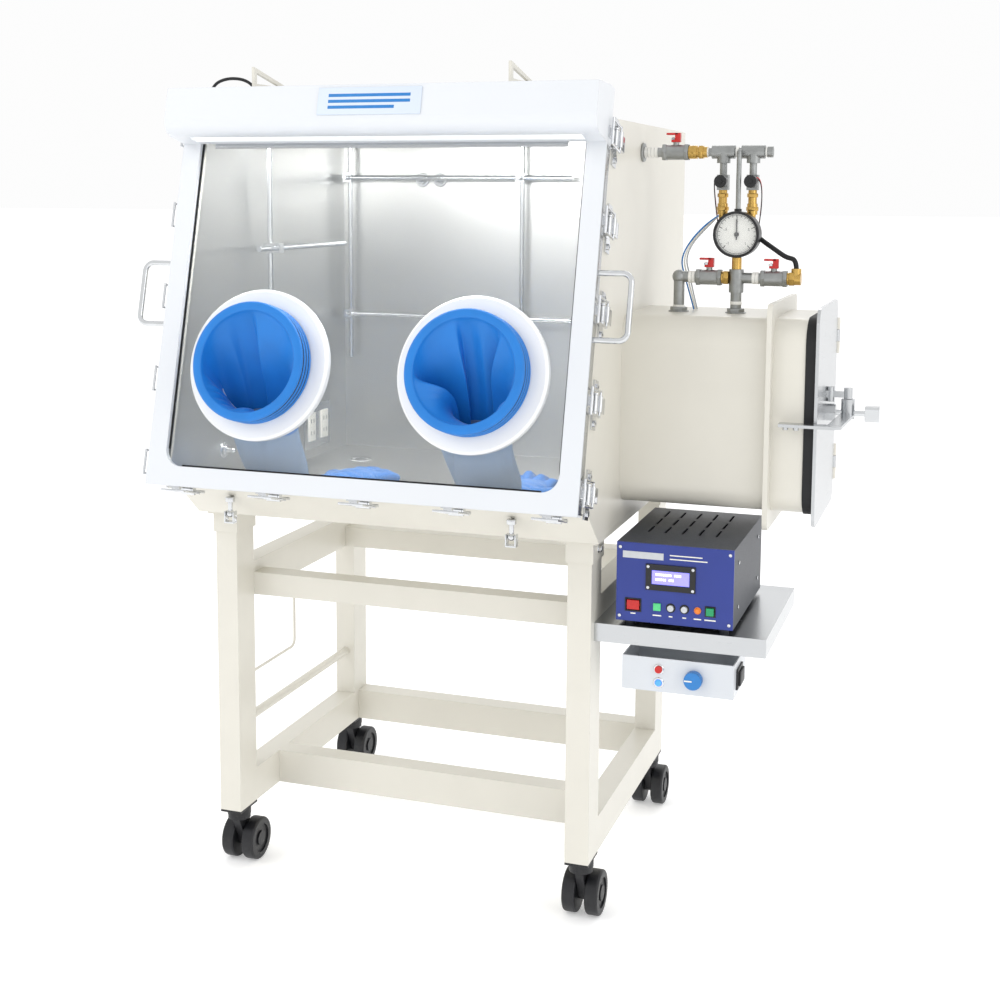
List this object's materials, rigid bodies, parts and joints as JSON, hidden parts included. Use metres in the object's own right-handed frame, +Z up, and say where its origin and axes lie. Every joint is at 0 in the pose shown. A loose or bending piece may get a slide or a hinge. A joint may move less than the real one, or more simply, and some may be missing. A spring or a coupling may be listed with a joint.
{
  "type": "laboratory glove box",
  "caption": "Sealed laboratory work chamber on a wheeled stand, with two glove ports, a hinged front window, a side airlock box and gas valves.",
  "frame": {"origin": "on the floor, under the centre of the stand's four legs", "axes": "+X to the right as the user faces the window, +Y to the back, +Z up"},
  "size_m": [1.1763, 0.7685, 1.3948],
  "materials": {
    "ivory_paint": "satin powder coat",
    "white_paint": "gloss powder coat",
    "stainless": "brushed",
    "chrome": "polished",
    "grey_steel": "satin cast",
    "brass": "machined",
    "black_rubber": "matt",
    "black_plastic": "moulded",
    "glove_blue": "satin rubber",
    "clear_pane": "clear polished",
    "lamp_glass": "lit tube",
    "white_plastic": "moulded",
    "red_plastic": "moulded",
    "green_plastic": "moulded",
    "blue_plastic": "moulded",
    "case_grey": "fine texture",
    "panel_blue": "satin print"
  },
  "bodies": {
    "stand_and_chamber": {"left_frame": "ivory_paint", "right_frame": "ivory_paint", "crossbars": "ivory_paint", "leg_brackets": "ivory_paint", "side_rods": "ivory_paint", "caster_plates": "black_plastic", "chamber_shell": "ivory_paint", "chamber_liner": "stainless", "front_seal": "black_rubber", "roof_hinges": "ivory_paint", "latch_bases": "chrome", "lattice": "stainless", "pass_box": "ivory_paint", "pass_seals": "black_rubber", "pipework": "grey_steel", "brass_fittings": "brass", "hoses": "black_rubber", "pressure_gauge": "black_plastic", "shelf": "stainless", "controller_case": "case_grey", "controller_panel": "panel_blue", "supply_box": "white_paint"},
    "front_panel": {"panel_frame": "white_paint", "window_pane": "clear_pane", "port_rings": "white_plastic", "left_glove": "glove_blue", "right_glove": "glove_blue", "lamp_housing": "white_paint", "lamp_tube": "lamp_glass", "panel_handles": "chrome", "hinge_arms": "ivory_paint", "latch_keepers": "chrome"},
    "left_levers": {"left_levers": "chrome"},
    "left_bails": {"left_bails": "chrome"},
    "right_levers": {"right_levers": "chrome"},
    "right_bails": {"right_bails": "chrome"},
    "bottom_levers": {"bottom_levers": "chrome"},
    "bottom_bails": {"bottom_bails": "chrome"},
    "front_left_fork": {"front_left_fork": "black_plastic"},
    "front_left_wheels": {"front_left_wheels": "black_plastic"},
    "front_right_fork": {"front_right_fork": "black_plastic"},
    "front_right_wheels": {"front_right_wheels": "black_plastic"},
    "rear_left_fork": {"rear_left_fork": "black_plastic"},
    "rear_left_wheels": {"rear_left_wheels": "black_plastic"},
    "rear_right_fork": {"rear_right_fork": "black_plastic"},
    "rear_right_wheels": {"rear_right_wheels": "black_plastic"},
    "pass_door": {"pass_door": "stainless"},
    "door_strap": {"door_strap": "stainless"},
    "clamp_screw": {"clamp_screw": "stainless"},
    "inner_door": {"inner_door": "stainless"},
    "gauge_needle": {"gauge_needle": "black_plastic"},
    "upper_valve_handle": {"upper_valve_handle": "red_plastic"},
    "left_valve_handle": {"left_valve_handle": "red_plastic"},
    "right_valve_handle": {"right_valve_handle": "red_plastic"},
    "power_rocker": {"power_rocker": "red_plastic"},
    "down_button": {"down_button": "white_plastic"},
    "up_button": {"up_button": "white_plastic"},
    "output_button": {"output_button": "green_plastic"},
    "supply_button": {"supply_button": "red_plastic"},
    "supply_knob": {"supply_knob": "blue_plastic"}
  },
  "joints": [
    {"name": "front_panel_hinge", "type": "hinge", "parent": "stand_and_chamber", "child": "front_panel", "pos_m": [0, -0.122, 1.335], "axis": [-1, 0, 0], "range_deg": [0, 70]},
    {"name": "left_lever_swing", "type": "hinge", "parent": "stand_and_chamber", "child": "left_levers", "pos_m": [-0.3645, -0.4094, 0.715], "axis": [0, 0.25, 0.9682], "range_deg": [0, 110]},
    {"name": "left_bail_swing", "type": "hinge", "parent": "left_levers", "child": "left_bails", "pos_m": [-0.37, -0.40068, 0.71275], "axis": [0, 0.25, 0.9682], "range_deg": [-131, 0]},
    {"name": "right_lever_swing", "type": "hinge", "parent": "stand_and_chamber", "child": "right_levers", "pos_m": [0.3645, -0.4094, 0.715], "axis": [0, -0.25, -0.9682], "range_deg": [0, 110]},
    {"name": "right_bail_swing", "type": "hinge", "parent": "right_levers", "child": "right_bails", "pos_m": [0.37, -0.40068, 0.71275], "axis": [0, -0.25, -0.9682], "range_deg": [-131, 0]},
    {"name": "bottom_lever_swing", "type": "hinge", "parent": "stand_and_chamber", "child": "bottom_levers", "pos_m": [0, -0.40977, 0.71355], "axis": [-1, 0, 0], "range_deg": [0, 110]},
    {"name": "bottom_bail_swing", "type": "hinge", "parent": "bottom_levers", "child": "bottom_bails", "pos_m": [0, -0.40243, 0.70597], "axis": [-1, 0, 0], "range_deg": [-131, 0]},
    {"name": "front_left_swivel", "type": "hinge", "parent": "stand_and_chamber", "child": "front_left_fork", "pos_m": [-0.3175, -0.242, 0.095], "axis": [0, 0, 1], "continuous": true},
    {"name": "front_left_roll", "type": "hinge", "parent": "front_left_fork", "child": "front_left_wheels", "pos_m": [-0.3175, -0.217, 0.0375], "axis": [1, 0, 0], "continuous": true},
    {"name": "front_right_swivel", "type": "hinge", "parent": "stand_and_chamber", "child": "front_right_fork", "pos_m": [0.3175, -0.242, 0.095], "axis": [0, 0, 1], "continuous": true},
    {"name": "front_right_roll", "type": "hinge", "parent": "front_right_fork", "child": "front_right_wheels", "pos_m": [0.3175, -0.217, 0.0375], "axis": [1, 0, 0], "continuous": true},
    {"name": "rear_left_swivel", "type": "hinge", "parent": "stand_and_chamber", "child": "rear_left_fork", "pos_m": [-0.3175, 0.242, 0.095], "axis": [0, 0, 1], "continuous": true},
    {"name": "rear_left_roll", "type": "hinge", "parent": "rear_left_fork", "child": "rear_left_wheels", "pos_m": [-0.3175, 0.267, 0.0375], "axis": [1, 0, 0], "continuous": true},
    {"name": "rear_right_swivel", "type": "hinge", "parent": "stand_and_chamber", "child": "rear_right_fork", "pos_m": [0.3175, 0.242, 0.095], "axis": [0, 0, 1], "continuous": true},
    {"name": "rear_right_roll", "type": "hinge", "parent": "rear_right_fork", "child": "rear_right_wheels", "pos_m": [0.3175, 0.267, 0.0375], "axis": [1, 0, 0], "continuous": true},
    {"name": "pass_door_hinge", "type": "hinge", "parent": "stand_and_chamber", "child": "pass_door", "pos_m": [0.6693, 0.095, 0.846], "axis": [0, 0, 1], "range_deg": [0, 110]},
    {"name": "strap_swing", "type": "hinge", "parent": "pass_door", "child": "door_strap", "pos_m": [0.7058, -0.046, 0.842], "axis": [0, 0, 1], "range_deg": [0, 80]},
    {"name": "clamp_screw_turn", "type": "hinge", "parent": "door_strap", "child": "clamp_screw", "pos_m": [0.7058, -0.046, 0.842], "axis": [1, 0, 0], "continuous": true},
    {"name": "inner_door_hinge", "type": "hinge", "parent": "stand_and_chamber", "child": "inner_door", "pos_m": [0.3442, -0.046, 1.016], "axis": [0, 1, 0], "range_deg": [0, 90]},
    {"name": "needle_turn", "type": "hinge", "parent": "stand_and_chamber", "child": "gauge_needle", "pos_m": [0.5225, -0.082, 1.131], "axis": [0, 1, 0], "range_deg": [-135, 135], "stiffness_Nm_per_rad": 0.002},
    {"name": "upper_valve_turn", "type": "hinge", "parent": "stand_and_chamber", "child": "upper_valve_handle", "pos_m": [0.4125, -0.046, 1.2825], "axis": [0, 0, 1], "range_deg": [0, 90]},
    {"name": "left_valve_turn", "type": "hinge", "parent": "stand_and_chamber", "child": "left_valve_handle", "pos_m": [0.4775, -0.072, 1.0775], "axis": [0, 0, 1], "range_deg": [0, 90]},
    {"name": "right_valve_turn", "type": "hinge", "parent": "stand_and_chamber", "child": "right_valve_handle", "pos_m": [0.5835, -0.072, 1.0775], "axis": [0, 0, 1], "range_deg": [0, 90]},
    {"name": "rocker_tilt", "type": "hinge", "parent": "stand_and_chamber", "child": "power_rocker", "pos_m": [0.4005, -0.2485, 0.545], "axis": [1, 0, 0], "range_deg": [-8, 8]},
    {"name": "down_button_press", "type": "slide", "parent": "stand_and_chamber", "child": "down_button", "axis": [0, 1, 0], "range_m": [0, 0.003], "stiffness_N_per_m": 300},
    {"name": "up_button_press", "type": "slide", "parent": "stand_and_chamber", "child": "up_button", "axis": [0, 1, 0], "range_m": [0, 0.003], "stiffness_N_per_m": 300},
    {"name": "output_button_press", "type": "slide", "parent": "stand_and_chamber", "child": "output_button", "axis": [0, 1, 0], "range_m": [0, 0.003], "stiffness_N_per_m": 300},
    {"name": "supply_button_press", "type": "slide", "parent": "stand_and_chamber", "child": "supply_button", "axis": [0, 1, 0], "range_m": [0, 0.003], "stiffness_N_per_m": 300},
    {"name": "supply_knob_turn", "type": "hinge", "parent": "stand_and_chamber", "child": "supply_knob", "pos_m": [0.5015, -0.252, 0.434], "axis": [0, 1, 0], "range_deg": [-135, 135]}
  ],
  "couplings": [
    {"joint": "left_bail_swing", "follows": "left_lever_swing", "ratio": -1.18},
    {"joint": "right_bail_swing", "follows": "right_lever_swing", "ratio": -1.18},
    {"joint": "bottom_bail_swing", "follows": "bottom_lever_swing", "ratio": -1.18}
  ]
}
